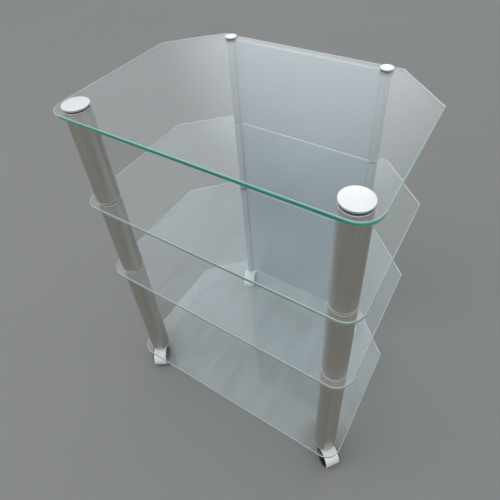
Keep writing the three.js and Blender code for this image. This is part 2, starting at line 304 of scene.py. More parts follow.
def blended(tree, amount, first, second):
    made = add_node(tree, "ShaderNodeMix", {"Factor": amount}, data_type="RGBA")
    sockets = [s for s in made.inputs if s.type == "RGBA"]
    for socket, value in zip(sockets, (first, second)):
        feed(tree, socket, value)
    return next(s for s in made.outputs if s.type == "RGBA")


def bumped(tree, height, amount, depth):
    made = add_node(tree, "ShaderNodeBump", {"Height": height, "Strength": amount, "Distance": depth})
    return made.outputs["Normal"]


def worked(tree, operation, *values):
    return add_node(tree, "ShaderNodeMath", dict(enumerate(values)), operation=operation).outputs[0]


def principled(tree, inputs):
    return add_node(tree, "ShaderNodeBsdfPrincipled", inputs).outputs[0]


def mixed_shader(tree, amount, first, second):
    return add_node(tree, "ShaderNodeMixShader", {0: amount, 1: first, 2: second}).outputs[0]


def by_side(tree, outside, inside):
    """One shader where a face is seen from outside the piece, and another from within."""
    from_within = add_node(tree, "ShaderNodeNewGeometry").outputs["Backfacing"]
    return mixed_shader(tree, from_within, outside, inside)


def clear_shader(tree, glass, rough):
    return principled(tree, {
        "Base Color": glass.tint, "Roughness": rough, "IOR": GLASS_IOR,
        "Transmission Weight": 1.0,
    })


def glancing(tree):
    """How far a face turns from the line of sight: 0 face on, 1 edge on."""
    return add_node(tree, "ShaderNodeLayerWeight", {"Blend": 0.5}).outputs["Facing"]


def mixed(first, second, amount):
    return tuple(a + amount * (b - a) for a, b in zip(first, second))


def tone(rgb, factor):
    return tuple(min(1.0, c * factor) for c in rgb)


# How many times the film's share of dust and painted sheen each shelf carries, which part of it is left in
# the painted shade of the front columns, and how much paler each shelf's edges are painted, as painted
# light
DUST_AND_SHEEN = {"bottom": 2.1, "lower": 1.3, "upper": 0.45, "top": 0.4}
DUST_AND_SHEEN_IN_COLUMN_SHADE = {"bottom": 0.1, "lower": 0.9, "upper": 1.0, "top": 1.0}
PAINTED_EDGE_PALING = {"bottom": 0.95, "lower": 0.85, "upper": 0.6, "top": 0.0}
# Distances from a front column over which its painted shade on the glass's film fades out
COLUMN_SHADE_REACH = (1.6 * COLUMN_RADIUS, 2.8 * COLUMN_RADIUS)

# Ranges of glancing over which an edge or a bevel turns paler, as painted reflection and painted light
# seen through
ACROSS_GLASS = (0.52, 0.64)
ALONG_EDGE = (0.76, 0.86)
ACROSS_ARRIS = (0.42, 0.6)

GLASS_IOR = 1.52


def piece_sides(tree):
    """Where a point was on the piece as modelled: across it on either side, along it and up it."""
    where = add_node(tree, "ShaderNodeSeparateXYZ", {0: piece_place(tree)}).outputs
    return worked(tree, "ABSOLUTE", where["X"]), where["Y"], where["Z"]


def away_from_columns(tree, least):
    """Grows from the least value by a front column, which hides the sky from the glass there, to 1."""
    across, along, _ = piece_sides(tree)
    place = add_node(tree, "ShaderNodeCombineXYZ", {"X": across, "Y": along}).outputs[0]
    column = (AXES["front_right"].x, AXES["front_right"].y, 0)
    away = add_node(tree, "ShaderNodeVectorMath", {0: place, 1: column}, operation="DISTANCE")
    return spread(tree, away.outputs["Value"], *COLUMN_SHADE_REACH, least, 1)


def clear_glass(name, glass, film, least):
    """Clear glass under a thin film of dust and wiping marks, which also paints a pale sheen of light on
    it and is thinned near the front columns as painted shade. Lamps shine through it.
    """
    material, tree = new_material(name)
    marks = noise(tree, object_place(tree, (6, 2.5, 6)), scale=3.0, detail=6.0, roughness=0.6)
    specks = noise(tree, object_place(tree), scale=420.0, detail=1.0)
    veil = spread(tree, marks, 0.3, 0.75, film * 0.5, film * 1.6)
    grit = spread(tree, specks, 0.78, 0.84, 0.0, 0.06)
    # This film is both dust and a painted sheen of light.
    dust = add_node(tree, "ShaderNodeBsdfDiffuse", {"Color": glass.dust_and_sheen_colour})
    strewn = worked(tree, "ADD", veil, grit)
    covered = worked(tree, "MULTIPLY", strewn, away_from_columns(tree, least))
    dusty = mixed_shader(tree, covered, clear_shader(tree, glass, rough=0.0), dust.outputs[0])
    through = add_node(tree, "ShaderNodeBsdfTransparent", {"Color": tone(glass.tint, 0.985)})
    ray = add_node(tree, "ShaderNodeLightPath").outputs
    lighting = worked(tree, "MAXIMUM", ray["Is Shadow Ray"], ray["Is Diffuse Ray"])
    return finished(material, mixed_shader(tree, lighting, dusty, through.outputs[0]))


def edge_colours(glass, pale):
    """A shelf's edge, corner and top colours, the top one a painted highlight. The share pale moves each
    towards a paler one, as painted light seen through the edge and painted reflection.
    """
    return (
        mixed(glass.depth_colour, glass.through_light_colour, pale),
        mixed(glass.corner_colour, glass.through_light_colour, pale),
        mixed(glass.lit_arris_colour, glass.glance_reflection_colour, pale),
    )


def polished_edge(name, glass, pale):
    """A shelf's edge face: deep green from outside, paler at its corners, with a painted highlight at its
    top and painted light and reflection where it is seen across the glass and along it.
    """
    material, tree = new_material(name)
    depth, corner, top = edge_colours(glass, pale)
    waves = noise(tree, object_place(tree, (1, 1, 8)), scale=30.0, detail=2.0)
    deep = blended(tree, spread(tree, waves, 0.3, 0.7), tone(depth, 0.8), tone(depth, 1.2))
    aside, _, level = piece_sides(tree)
    half = SHELF_WIDTH / 2
    near_corner = spread(tree, aside, half - 1.2 * CORNER_RADIUS, half - 0.2 * CORNER_RADIUS)
    body = blended(tree, near_corner, deep, corner)
    top_highlight = spread(tree, level, 0.4 * GLASS_THICKNESS, GLASS_THICKNESS, 0, 0.7)
    lit = blended(tree, top_highlight, body, top)
    glance = glancing(tree)
    across = blended(tree, spread(tree, glance, *ACROSS_GLASS), lit, glass.through_light_colour)
    seen = blended(tree, spread(tree, glance, *ALONG_EDGE), across, glass.grazed_reflection_colour)
    outside = principled(tree, {
        "Base Color": seen, "Roughness": 0.12, "IOR": GLASS_IOR, "Specular IOR Level": 0.2,
    })
    return finished(material, by_side(tree, outside, clear_shader(tree, glass, rough=0.05)))


def ground_arris(name, glass, pale):
    """The narrow ground bevels: frosted, green below, with a painted highlight above, painted reflections
    at a glance and pale painted light from within.
    """
    material, tree = new_material(name)
    _, foot, head = edge_colours(glass, pale)
    grain = noise(tree, object_place(tree), scale=900.0, detail=2.0)
    level = piece_sides(tree)[2]
    upper = spread(tree, level, 0.4 * GLASS_THICKNESS, 0.6 * GLASS_THICKNESS)
    ground = blended(tree, upper, foot, blended(tree, grain, tone(head, 0.9), tone(head, 1.1)))
    glance = spread(tree, glancing(tree), *ACROSS_ARRIS)
    outside = principled(tree, {
        "Base Color": blended(tree, glance, ground, glass.glance_reflection_colour),
        "Roughness": 0.3, "IOR": GLASS_IOR,
        "Normal": bumped(tree, grain, amount=0.2, depth=0.0002),
    })
    inside = principled(tree, {
        "Base Color": glass.rim_light_colour, "Roughness": 0.5, "IOR": GLASS_IOR,
    })
    return finished(material, by_side(tree, outside, inside))


# Cool and warm tones of the brushed streaks, whose broad bands are painted reflections.
COOL_STREAK_AND_REFLECTION = (0.89, 0.90, 0.92)
WARM_STREAK_AND_REFLECTION = (1.09, 1.07, 1.04)


def brushed_metal(name, metal, rough, streak=(300, 300, 2.5)):
    """Metal brushed along Z: fine streaks in colour, gloss and height, with a few faint smudges. Broad
    cool and warm bands in its colour are painted reflections of the surroundings.
    """
    material, tree = new_material(name)
    fine = noise(tree, object_place(tree, streak), scale=3.0, detail=4.0, roughness=0.7)
    reflection_bands = noise(tree, object_place(tree, (90, 90, 1.2)), scale=1.6)
    smudge = noise(tree, object_place(tree), scale=14.0, detail=4.0)
    streaks = worked(tree, "MULTIPLY", fine, reflection_bands)
    cool = tuple(c * factor for c, factor in zip(metal, COOL_STREAK_AND_REFLECTION))
    warm = tuple(c * factor for c, factor in zip(metal, WARM_STREAK_AND_REFLECTION))
    tint = blended(tree, spread(tree, streaks, 0.1, 0.42), cool, warm)
    brushing = spread(tree, fine, 0.25, 0.75, rough - 0.06, rough + 0.08)
    smears = spread(tree, smudge, 0.5, 0.8, 0.0, 0.1)
    return finished(material, principled(tree, {
        "Base Color": tint, "Metallic": 1.0, "Roughness": worked(tree, "ADD", brushing, smears),
        "Normal": bumped(tree, fine, amount=0.25, depth=0.0003),
    }))


def turned_metal(name, metal, rough, metallic=1.0):
    """Metal turned on a lathe: fine rings round the piece's own axis."""
    material, tree = new_material(name)
    rings = add_node(tree, "ShaderNodeTexWave", {
        "Vector": piece_place(tree), "Scale": 900.0, "Distortion": 0.6,
        "Detail": 2.0, "Detail Scale": 2.0,
    }, wave_type="RINGS", rings_direction="Z")
    scuffs = noise(tree, piece_place(tree), scale=160.0, detail=5.0, roughness=0.65)
    worn = spread(tree, scuffs, 0.35, 0.7)
    return finished(material, principled(tree, {
        "Base Color": blended(tree, worn, tone(metal, 1.01), tone(metal, 0.98)),
        "Metallic": metallic, "Roughness": spread(tree, scuffs, 0.3, 0.75, rough - 0.02, rough + 0.05),
        "Normal": bumped(tree, rings.outputs["Fac"], amount=0.12, depth=0.0001),
    }))


def satin_paint(panels):
    """Silver satin paint with a very fine orange peel and faint wiping marks."""
    material, tree = new_material("satin_silver_paint")
    flake = noise(tree, object_place(tree), scale=1400.0, detail=1.0)
    cloud = noise(tree, object_place(tree, (2, 2, 1)), scale=5.0, detail=5.0)
    sparkle = spread(tree, flake, 0.35, 0.65)
    return finished(material, principled(tree, {
        "Base Color": blended(tree, sparkle, tone(panels.paint, 0.97), tone(panels.paint, 1.03)),
        "Metallic": 0.45, "Roughness": spread(tree, cloud, 0.1, 0.9, 0.28, 0.36),
        "Normal": bumped(tree, flake, amount=0.03, depth=0.0002),
    }))


FLOOR_DUST = (0.34, 0.34, 0.34)


def moulded(name, rgb, rough, dusty=0.0, shine=0.3):
    """Moulded plastic or rubber with a fine grain, and dust where dusty is above zero."""
    material, tree = new_material(name)
    grain = noise(tree, piece_place(tree), scale=1100.0)
    patches = noise(tree, piece_place(tree), scale=90.0, detail=4.0, roughness=0.6)
    pale = mixed(rgb, FLOOR_DUST, dusty)
    tint = blended(tree, spread(tree, patches, 0.35, 0.7), rgb, pale)
    return finished(material, principled(tree, {
        "Base Color": tint, "Roughness": spread(tree, patches, 0.3, 0.7, rough - 0.06, rough + 0.1),
        "Normal": bumped(tree, grain, amount=0.15, depth=0.0002), "Specular IOR Level": shine,
    }))


def floor_paint(stage):
    """Plain matt paint. The floor can be looked through from below."""
    material, tree = new_material("floor_paint")
    cloud = noise(tree, object_place(tree), scale=1.5)
    tint = blended(tree, cloud, tone(stage.floor, 0.97), tone(stage.floor, 1.03))
    paint = principled(tree, {"Base Color": tint, "Roughness": 0.75})
    nothing = add_node(tree, "ShaderNodeBsdfTransparent").outputs[0]
    return finished(material, by_side(tree, paint, nothing))


# Modelling steps


def start_clean():
    if bpy.context.object is not None and bpy.context.object.mode != "OBJECT":
        bpy.ops.object.mode_set(mode="OBJECT")
    bpy.ops.object.select_all(action="DESELECT")


def pick(piece, kind, test):
    """In edit mode, selects the edges or the corners that pass the test."""
    bpy.ops.mesh.select_mode(type=kind)
    bpy.ops.mesh.select_all(action="DESELECT")
    mesh = bmesh.from_edit_mesh(piece.data)
    for part in {"EDGE": mesh.edges, "VERT": mesh.verts}[kind]:
        if test(part):
            part.select_set(True)
    mesh.select_flush_mode()
    bmesh.update_edit_mesh(piece.data)


def finish_mesh(smooth_angle=SMOOTH_ANGLE):
    """Welds doubles, turns the faces outwards, leaves edit mode and shades what is round smoothly."""
    bpy.ops.mesh.select_all(action="SELECT")
    bpy.ops.mesh.remove_doubles(threshold=WELD)
    bpy.ops.mesh.normals_make_consistent(inside=False)
    bpy.ops.object.mode_set(mode="OBJECT")
    bpy.ops.object.transform_apply(location=True, rotation=True, scale=True)
    bpy.ops.object.shade_smooth_by_angle(angle=math.radians(smooth_angle))


def extrude_up(height):
    bpy.ops.mesh.extrude_region_move(TRANSFORM_OT_translate={"value": (0, 0, height)})


def start_flat(width, depth):
    """A flat rectangle about the origin, left in edit mode."""
    start_clean()
    bpy.ops.mesh.primitive_plane_add(size=1)
    piece = bpy.context.active_object
    bpy.ops.object.mode_set(mode="EDIT")
    bpy.ops.transform.resize(value=(width, depth, 1))
    return piece


def draw_up(profile, facets):
    """A round piece about the Z axis, drawn out ring by ring through (radius, height) pairs."""
    start_clean()
    rings = [(max(radius, POLE), height) for radius, height in profile]
    radius, height = rings[0]
    bpy.ops.mesh.primitive_circle_add(vertices=facets, radius=radius, fill_type="NOTHING")
    piece = bpy.context.active_object
    bpy.ops.object.mode_set(mode="EDIT")
    bpy.ops.mesh.select_all(action="SELECT")
    bpy.ops.transform.translate(value=(0, 0, height))
    for next_radius, next_height in rings[1:]:
        extrude_up(next_height - height)
        ratio = next_radius / radius
        bpy.ops.transform.resize(value=(ratio, ratio, 1))
        radius, height = next_radius, next_height
    finish_mesh()
    return piece


def plain_round(radius, low, high, facets):
    """A plain round solid about the Z axis, to join to a piece or to cut from it."""
    return draw_up([(0, low), (radius, low), (radius, high), (0, high)], facets)


def select_only(piece):
    start_clean()
    piece.select_set(True)
    bpy.context.view_layer.objects.active = piece


def apply_all(piece):
    select_only(piece)
    for modifier in list(piece.modifiers):
        bpy.ops.object.modifier_apply(modifier=modifier.name)


def combine(piece, other, operation):
    """Joins, cuts or trims a piece by another solid, which is used up."""
    modifier = piece.modifiers.new("shape", "BOOLEAN")
    modifier.operation = operation
    modifier.solver = "EXACT"
    modifier.object = other
    apply_all(piece)
    bpy.data.objects.remove(other)


def soften(piece, width):
    """Rounds the piece's sharp edges."""
    modifier = piece.modifiers.new("soften", "BEVEL")
    modifier.width = width
    modifier.segments = 2
    modifier.limit_method = "ANGLE"
    modifier.angle_limit = math.radians(SHARP_ANGLE)
    apply_all(piece)


def tip(piece, angle):
    """Turns the piece's mesh by an angle in degrees about the X axis."""
    piece.data.transform(Matrix.Rotation(math.radians(angle), 4, "X"))


def keep_places(piece):
    """Stores where each point is on the piece as modelled, for the materials that follow it."""
    mesh = piece.data
    kept = mesh.attributes.new(MADE_AT, "FLOAT_VECTOR", "POINT")
    places = [value for v in mesh.vertices for value in v.co]
    kept.data.foreach_set("vector", places)


def second_where(piece, test):
    """Faces whose normal's height passes the test take the second material, and the rest the first."""
    for face in piece.data.polygons:
        face.material_index = int(test(face.normal.z))


def put(source, name, place, materials, body, node):
    """A copy of a modelled piece at its place, riding on its body where the CAD node was."""
    piece = bpy.data.objects.new(name, source.data.copy())
    bpy.context.scene.collection.objects.link(piece)
    piece.data.name = name
    piece.data.transform(place)
    for material in materials:
        piece.data.materials.append(material)
    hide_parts(node)
    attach(piece, body)


def drop(*sources):
    for source in sources:
        bpy.data.objects.remove(source)


def at(x, y, z):
    return Matrix.Translation((x, y, z))


def over(axis, z):
    return at(axis.x, axis.y, z)


# Pieces

# A pane's bevels meet its faces at 22.5 degrees. Smoothed, they would bend the shading of the faces.
PANE_SMOOTH = 12.0
HOLE_FACETS = 48

# The height of a normal is above FACE_TILT on a pane's faces and below EDGE_TILT on its edges.
FACE_TILT = 0.999
EDGE_TILT = 0.1


def model_pane(glass):
    """One shelf with its underside at height zero: rounded front corners and cut rear corners."""
    pane = start_flat(SHELF_WIDTH, SHELF_DEPTH)
    pick(pane, "VERT", lambda v: v.co.y < 0)
    bpy.ops.mesh.bevel(
        affect="VERTICES", offset=CORNER_RADIUS, segments=glass.corner_steps, profile=0.5,
    )
    pick(pane, "VERT", lambda v: v.co.y > SHELF_DEPTH / 2 - WELD)
    bpy.ops.mesh.bevel(affect="VERTICES", offset=REAR_CHAMFER, segments=1)
    bpy.ops.mesh.select_all(action="SELECT")
    extrude_up(GLASS_THICKNESS)
    pick(pane, "EDGE", lambda e: abs(e.verts[0].co.z - e.verts[1].co.z) < TINY)
    bpy.ops.mesh.bevel(affect="EDGES", offset=glass.arris, segments=2)
    finish_mesh(PANE_SMOOTH)
    for axis in AXES.values():
        start_clean()
        bpy.ops.mesh.primitive_cylinder_add(
            vertices=HOLE_FACETS, radius=HOLE_RADIUS, depth=4 * GLASS_THICKNESS,
            location=(axis.x, axis.y, 0),
        )
        combine(pane, bpy.context.active_object, "DIFFERENCE")
    return pane


def sort_pane_faces(pane):
    """Gives the faces the clear, the edges the edge and the bevels the arris material."""
    for face in pane.data.polygons:
        tilt = abs(face.normal.z)
        face.material_index = 0 if tilt > FACE_TILT else 1 if tilt < EDGE_TILT else 2


class RACK_OT_shelves(bpy.types.Operator):
    """Models the four glass shelves with their polished edges and drilled holes"""

    bl_idname = "rack.shelves"
    bl_label = "Glass shelves"

    def execute(self, context):
        glass = context.scene.rack_glass
        pane = model_pane(glass)
        keep_places(pane)
        sort_pane_faces(pane)
        for level in SHELVES:
            node = f"{level}_shelf"
            film = glass.film * DUST_AND_SHEEN[level]
            materials = [
                clear_glass(f"{level}_clear_glass", glass, film, DUST_AND_SHEEN_IN_COLUMN_SHADE[level]),
                polished_edge(f"{level}_polished_edge", glass, PAINTED_EDGE_PALING[level]),
                ground_arris(f"{level}_ground_arris", glass, PAINTED_EDGE_PALING[level]),
            ]
            put(pane, f"{level}_glass_pane", at(0, 0, heights(node)[0]), materials,
                RACK, node)
        drop(pane)
        return {"FINISHED"}


def tube_profile(bore, radius, tall, bevel):
    """A tube's wall with bevelled outer ends, as (radius, height) pairs from the glass under it."""
    top = tall - SEAT
    return [
        (bore, SEAT), (radius - bevel, SEAT), (radius, SEAT + bevel), (radius, top - bevel),
        (radius - bevel, top), (bore, top), (bore, SEAT),
    ]


def lipped(profile, lip):
    """A tube's profile with its wall turned in at the top end, which rests under the glass."""
    bore, top = profile[-2]
    return [
        *profile[:-2], (bore - lip, top), (bore - lip, top - lip / 2), (bore, top - lip), profile[-1],
    ]


def is_top_bevel(tilt):
    return 0.5 < tilt < 0.9


class RACK_OT_columns(bpy.types.Operator):
    """Models the lengths of the two thick front columns"""

    bl_idname = "rack.columns"
    bl_label = "Front columns"

    def execute(self, context):
        tubes = context.scene.rack_tubes
        steel = brushed_metal("brushed_column", tubes.metal, rough=0.33)
        # A paler, less metallic metal on the upward top bevels, as a painted highlight.
        highlighted_bevel = turned_metal("column_bevel_highlight", tubes.top_bevel_highlight, rough=0.4, metallic=0.2)
        for bay in BAYS:
            low, high = heights(f"front_left_{bay}_tube")
            profile = tube_profile(COLUMN_BORE, COLUMN_RADIUS, high - low, tubes.end_bevel)
            tube = draw_up(lipped(profile, tubes.end_lip), tubes.facets)
            keep_places(tube)
            second_where(tube, is_top_bevel)
            for name in FRONT:
                put(tube, f"{name}_{bay}_column", over(AXES[name], low), [steel, highlighted_bevel],
                    RACK, f"{name}_{bay}_tube")
            drop(tube)
        return {"FINISHED"}


class RACK_OT_posts(bpy.types.Operator):
    """Models the lengths of the two slim rear posts, each slotted for a panel's edge"""

    bl_idname = "rack.posts"
    bl_label = "Rear posts"

    def execute(self, context):
        tubes = context.scene.rack_tubes
        steel = brushed_metal("brushed_post", tubes.post_metal, rough=0.36, streak=(500, 500, 3))
        for bay in BAYS:
            low, high = heights(f"rear_left_{bay}_tube")
            tube = draw_up(
                tube_profile(POST_BORE, POST_RADIUS, high - low, tubes.end_bevel), tubes.facets // 2,
            )
            start_clean()
            bpy.ops.mesh.primitive_cube_add(size=1, location=(POST_RADIUS, 0, (high - low) / 2))
            cutter = bpy.context.active_object
            cutter.scale = (
                2 * POST_RADIUS, PANEL_THICKNESS + 2 * tubes.slot_gap, 2 * (high - low),
            )
            combine(tube, cutter, "DIFFERENCE")
            for name in REAR:
                facing = Matrix.Rotation(0 if AXES[name].x < 0 else math.pi, 4, "Z")
                put(tube, f"{name}_{bay}_post", over(AXES[name], low) @ facing, [steel],
                    RACK, f"{name}_{bay}_tube")
            drop(tube)
        return {"FINISHED"}


PLUG_PLASTIC = (0.9, 0.89, 0.87)


class RACK_OT_plugs(bpy.types.Operator):
    """Models the plastic plugs whose rims carry the front tubes"""

    bl_idname = "rack.plugs"
    bl_label = "Tube plugs"
    rim_bevel: length("Rim bevel", "Rounding of the rim", 0.0003)
    fit: length("Fit", "Room between the spigot and the tube", 0.0003)

    def execute(self, context):
        tubes = context.scene.rack_tubes
        plastic = moulded("pale_plug_plastic", PLUG_PLASTIC, rough=0.35)
        spigot = COLUMN_BORE - self.fit
        lead = 2 * self.fit
        plug = draw_up([
            (PLUG_BORE, SEAT), (COLUMN_RADIUS - self.rim_bevel, SEAT), (COLUMN_RADIUS, self.rim_bevel),
            (COLUMN_RADIUS, PLUG_RIM - self.rim_bevel), (COLUMN_RADIUS - self.rim_bevel, PLUG_RIM),
            (spigot, PLUG_RIM), (spigot, PLUG_HEIGHT - lead), (spigot - lead, PLUG_HEIGHT),
            (PLUG_BORE, PLUG_HEIGHT), (PLUG_BORE, SEAT),
        ], tubes.facets)
        keep_places(plug)
        for bay in BAYS:
            for name in FRONT:
                node = f"{name}_{bay}_tube_plug"
                put(plug, f"{name}_{bay}_end_plug", over(AXES[name], heights(node)[0]), [plastic],
                    RACK, node)
        drop(plug)
        return {"FINISHED"}


def above_shelf(node):
    """A node's lowest and highest points, measured from the top of the top shelf."""
    return [z - SHELF_HIGH.z for z in heights(node)]


def cap_inside(name):
    """The bore, the stud's radius and the height of the roof inside a cap, from its CAD corners."""
    places = corners_of(f"{name}_cap")
    foot = heights(f"{name}_cap")[0]
    low_ring = [off_axis(co, AXES[name]) for co in places if co.z - foot < WELD]
    roof = min(co.z for co in places if off_axis(co, AXES[name]) < WELD)
    return min(low_ring), max(low_ring), roof - SHELF_HIGH.z


def rounded(radius, top, bevel, steps=4):
    """A quarter round from a wall at the radius to a face at the top, as (radius, height) pairs."""
    angles = [math.pi / 2 * step / steps for step in range(steps + 1)]
    return [
        (radius + bevel * (math.cos(angle) - 1), top + bevel * (math.sin(angle) - 1))
        for angle in angles
    ]


def model_cap(name, bevel, facets):
    """A screw cap with the shelf's top at height zero: hollow over the rod, with a domed face."""
    foot, top = above_shelf(f"{name}_cap")
    seat = above_shelf(f"{name}_cap_gasket")[1]
    radius = radii(f"{name}_cap", AXES[name])[1]
    bore, stud, roof = cap_inside(name)
    crown = (top - seat) / 12
    rim = top - crown
    return draw_up([
        (0, roof), (bore, roof), (bore, foot), (stud, foot), (stud, seat),
        (radius - bevel / 3, seat), (radius, seat + bevel / 3), (radius, rim - 1.2 * bevel),
        *rounded(radius, rim, bevel), (radius * 0.6, top - crown * 0.3), (0, top),
    ], facets)


def model_gasket(name, facets):
    """A gasket with the shelf's top at height zero, squeezed out a little round its rim."""
    bore, rim = radii(f"{name}_cap_gasket", AXES[name])
    thick = above_shelf(f"{name}_cap_gasket")[1]
    return draw_up([
        (bore, SEAT), (rim, SEAT), (rim + thick / 6, thick / 2), (rim, thick), (bore, thick), (bore, SEAT),
    ], facets)


def is_flank(tilt):
    return abs(tilt) < 0.5


class RACK_OT_caps(bpy.types.Operator):
    """Models the bright screw caps on the top shelf and the dark gaskets under them"""

    bl_idname = "rack.caps"
    bl_label = "Screw caps and gaskets"

    def execute(self, context):
        caps = context.scene.rack_caps
        facets = context.scene.rack_tubes.facets
        bright = turned_metal("bright_cap_metal", caps.metal, rough=0.22, metallic=0.4)
        # The sides are the caps' metal darkened as painted shade.
        shaded_flank = turned_metal("cap_flank_shade", caps.shaded_flank, rough=0.25)
        rubber = moulded("gasket_rubber", caps.rubber, rough=0.6)
        for name in UPRIGHTS:
            place = over(AXES[name], SHELF_HIGH.z)
            cap = model_cap(name, caps.bevel, facets)
            keep_places(cap)
            second_where(cap, is_flank)
            put(cap, f"{name}_screw_cap", place, [bright, shaded_flank], RACK, f"{name}_cap")
            ring = model_gasket(name, facets)
            keep_places(ring)
            put(ring, f"{name}_gasket_ring", place, [rubber], RACK, f"{name}_cap_gasket")
            drop(cap, ring)
        return {"FINISHED"}


class RACK_OT_panels(bpy.types.Operator):
    """Models the satin panels held between the rear posts"""

    bl_idname = "rack.panels"
    bl_label = "Back panels"

    def execute(self, context):
        panels = context.scene.rack_panels
        paint = satin_paint(panels)
        for bay in BAYS:
            node = f"{bay}_back_panel"
            low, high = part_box(node)
            panel = start_flat(high.x - low.x, high.y - low.y)
            extrude_up(high.z - low.z)
            finish_mesh()
            soften(panel, panels.edge_bevel)
            centre = middle(node)
            put(panel, f"{bay}_satin_panel", at(centre.x, centre.y, low.z), [paint],
                RACK, node)
            drop(panel)
        return {"FINISHED"}


ZINC = (0.62, 0.64, 0.66)


def rod_sizes(name):
    """Radii of a rod, its sleeve and the tapped hole, and heights of the hole, sleeve and rod."""
    foot, top = heights(f"{name}_tie_rod")
    rings = {
        (round(off_axis(co, AXES[name]), DIGITS), round(co.z, DIGITS))
        for co in corners_of(f"{name}_tie_rod")
    }
    sleeve = max(radius for radius, _ in rings)
    tapped = min(radius for radius, z in rings if z - foot < WELD)
    rod = max(radius for radius, z in rings if top - z < WELD)
    shoulder = max(z for radius, z in rings if abs(radius - sleeve) < WELD)
    tap_end = min(z for radius, z in rings if radius < WELD)
    return rod, sleeve, tapped, tap_end - foot, shoulder - foot, top - foot


class RACK_OT_rods(bpy.types.Operator):
    """Models the tie rods with their tapped sleeves, hidden inside the tubes"""

    bl_idname = "rack.rods"
    bl_label = "Tie rods"
    facets: count("Facets", "Flats round a rod", 32)
    pitch: length("Pitch", "Pitch of the thread at the rod's head", 0.00125)
    thread: length("Thread", "Length of the thread at the rod's head", 0.02)

    def execute(self, context):
        zinc = turned_metal("zinc_plate", ZINC, rough=0.3)
        for name in UPRIGHTS:
            node = f"{name}_tie_rod"
            rod, sleeve, tapped, tap_end, shoulder, tall = rod_sizes(name)
            depth = self.pitch / 2
            head = []
            for turns_left in range(int(self.thread / self.pitch), 0, -1):
                start = tall - turns_left * self.pitch
                head += [(rod, start), (rod - depth, start + self.pitch / 2)]
            piece = draw_up([
                (0, tap_end), (tapped, tap_end), (tapped, 0), (sleeve - depth, 0), (sleeve, depth),
                (sleeve, shoulder - depth), (sleeve - depth, shoulder), (rod, shoulder),
                *head, (rod - depth, tall), (0, tall),
            ], self.facets)
            keep_places(piece)
            put(piece, f"{name}_threaded_rod", over(AXES[name], heights(node)[0]), [zinc],
                RACK, node)
            drop(piece)
        return {"FINISHED"}


# Castors are modelled with their swivel axis on Z, the shelf's underside at height zero and the
# wheels trailing towards +X.
CORE_FACETS = 48
PASSAGE_FACETS = 32
TO_AXLE = at(AXLE_OFFSET, 0, -AXLE_DROP)


def castor_place(name):
    trail = AXLE_PLACE[name] - SWIVEL_PLACE[name]
    angle = math.atan2(trail.y, trail.x)
    return over(AXES[name], UNDERSIDE) @ Matrix.Rotation(angle, 4, "Z")


def castor_corners(node):
    """The corners of a node of the castor at HOME, in the castor's own frame."""
    home = castor_place(HOME).inverted()
    return [home @ co for co in corners_of(f"{HOME}_castor_{node}")]


def stem_heights():
    return [z - UNDERSIDE for z in heights(f"{HOME}_castor_stem")]


def off_axle(co):
    return math.hypot(co.x - AXLE_OFFSET, co.z + AXLE_DROP)


def lay_on_axle(piece):
    """Turns an upright round piece to lie along the axle."""
    tip(piece, 90)
    piece.data.transform(TO_AXLE)


def put_on_castors(piece, name, materials, node, swivels=True):
    """Copies a piece to every castor, to ride on it, or on the rack where it doesn't swivel."""
    for corner in UPRIGHTS:
        body = f"{corner}_castor" if swivels else RACK
        put(piece, f"{corner}_{name}", castor_place(corner), materials, body,
            f"{corner}_castor_{node}")
    drop(piece)


class RACK_OT_stems(bpy.types.Operator):
    """Models the castors' stems with their flanges"""

    bl_idname = "rack.stems"
    bl_label = "Castor stems"
    facets: count("Facets", "Flats round a stem", 48)
    tip: length("Tip", "Chamfer at both ends of the stem", 0.0015)

    def execute(self, context):
        flange = context.scene.rack_castors.stem_flange
        zinc = turned_metal("zinc_stem", ZINC, rough=0.32)
        foot, top = stem_heights()
        rim = self.tip / 3
        stem = draw_up([
            (0, foot), (STEM_RADIUS - self.tip, foot), (STEM_RADIUS, foot + self.tip),
            (STEM_RADIUS, -flange), (STEM_FLANGE_RADIUS - rim, -flange),
            (STEM_FLANGE_RADIUS, rim - flange), (STEM_FLANGE_RADIUS, -rim),
            (STEM_FLANGE_RADIUS - rim, -SEAT), (STEM_RADIUS, -SEAT), (STEM_RADIUS, top - self.tip),
            (STEM_RADIUS - self.tip, top), (0, top),
        ], self.facets)
        keep_places(stem)
        put_on_castors(stem, "swivel_stem", [zinc], "stem", swivels=False)
        return {"FINISHED"}


def hood_sizes():
    """The band's outer radius and half its width, from the hood's CAD corners."""
    places = castor_corners("hood")
    half = max(co.y for co in places)
    return max(off_axle(co) for co in places if half - abs(co.y) < WELD), half


